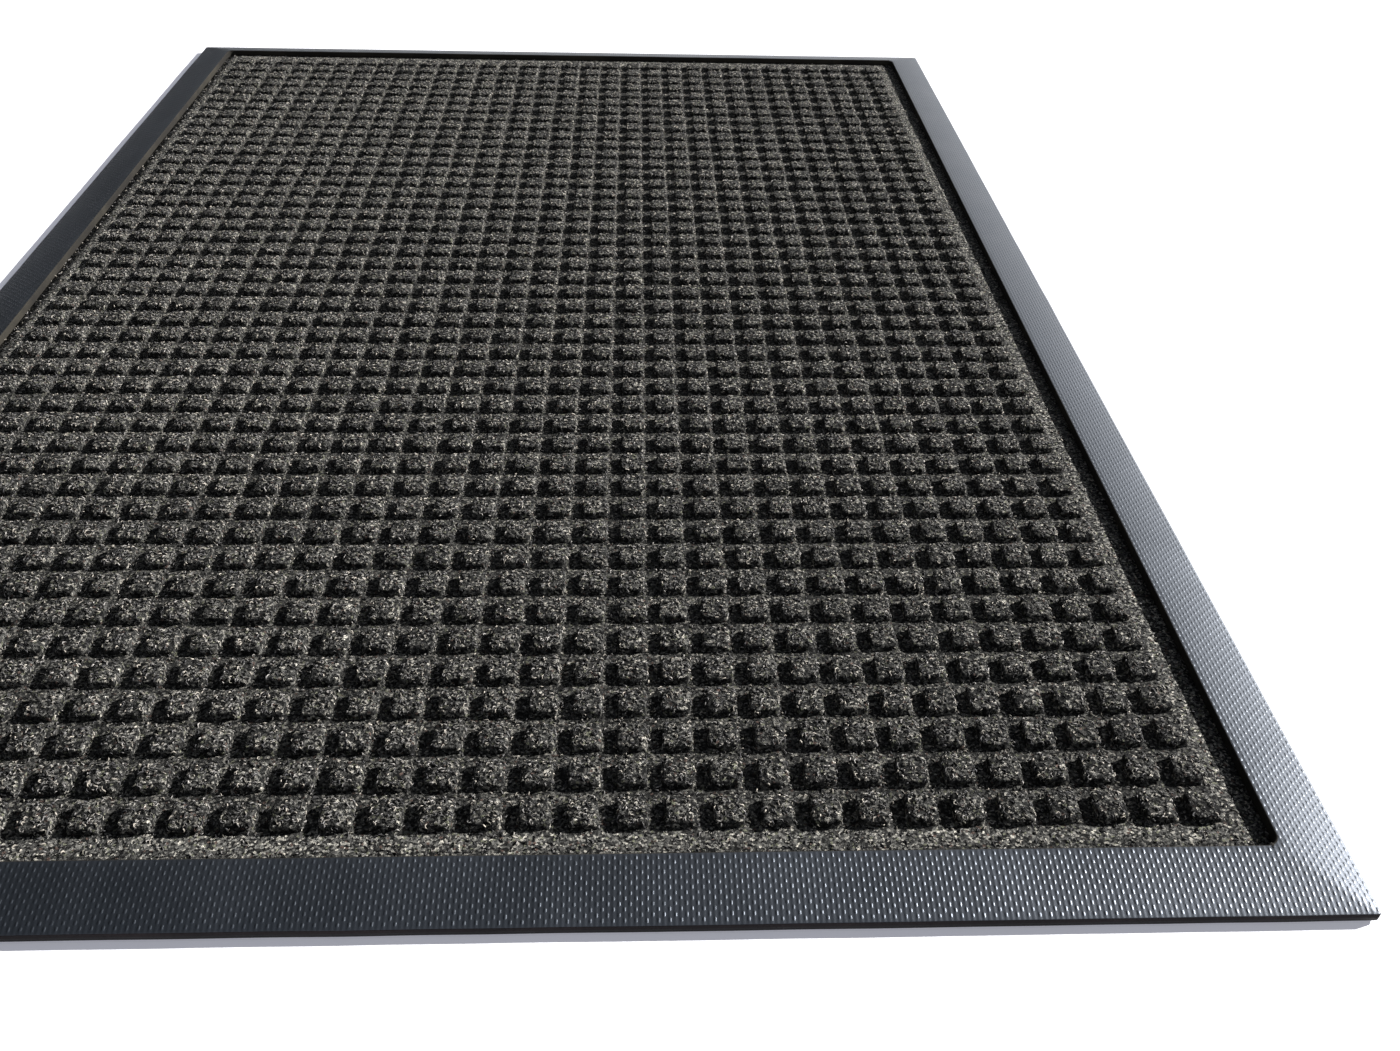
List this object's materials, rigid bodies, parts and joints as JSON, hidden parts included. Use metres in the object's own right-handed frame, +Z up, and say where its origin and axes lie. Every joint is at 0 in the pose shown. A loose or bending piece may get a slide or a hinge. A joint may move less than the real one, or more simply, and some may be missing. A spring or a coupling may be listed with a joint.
{
  "type": "door mat",
  "caption": "Flat rectangular entrance mat: carpet embossed with raised squares, inside a bevelled rubber border that stands proud of it, on a cleated rubber backing.",
  "frame": {"origin": "on the floor at the middle of the mat's outline, level with the tips of the cleats", "axes": "+Y along the mat's length, towards the back edge; +X across its width, to the right seen from the front edge; +Z up, through its thickness"},
  "size_m": [0.6, 0.9, 0.0094],
  "materials": {
    "backing_sheet": "matt black moulded rubber sheet with cleats",
    "border_strip_front": "black rubber with a fine cloth imprint, satin",
    "border_strip_right": "black rubber with a fine cloth imprint, satin",
    "border_strip_back": "black rubber with a fine cloth imprint, satin",
    "border_strip_left": "black rubber with a fine cloth imprint, satin",
    "nub_core_bed": "matt black rubber, hidden under the carpet",
    "carpet_scrim": "thin off-white carrier cloth, hidden under the pile",
    "carpet_pile": "needle-punched charcoal heather fibre, embossed in raised squares"
  },
  "bodies": {
    "root": {"backing_sheet": "backing_sheet", "border_strip_front": "border_strip_front", "border_strip_right": "border_strip_right", "border_strip_back": "border_strip_back", "border_strip_left": "border_strip_left", "nub_core_bed": "nub_core_bed", "carpet_scrim": "carpet_scrim", "carpet_pile": "carpet_pile"}
  },
  "joints": []
}
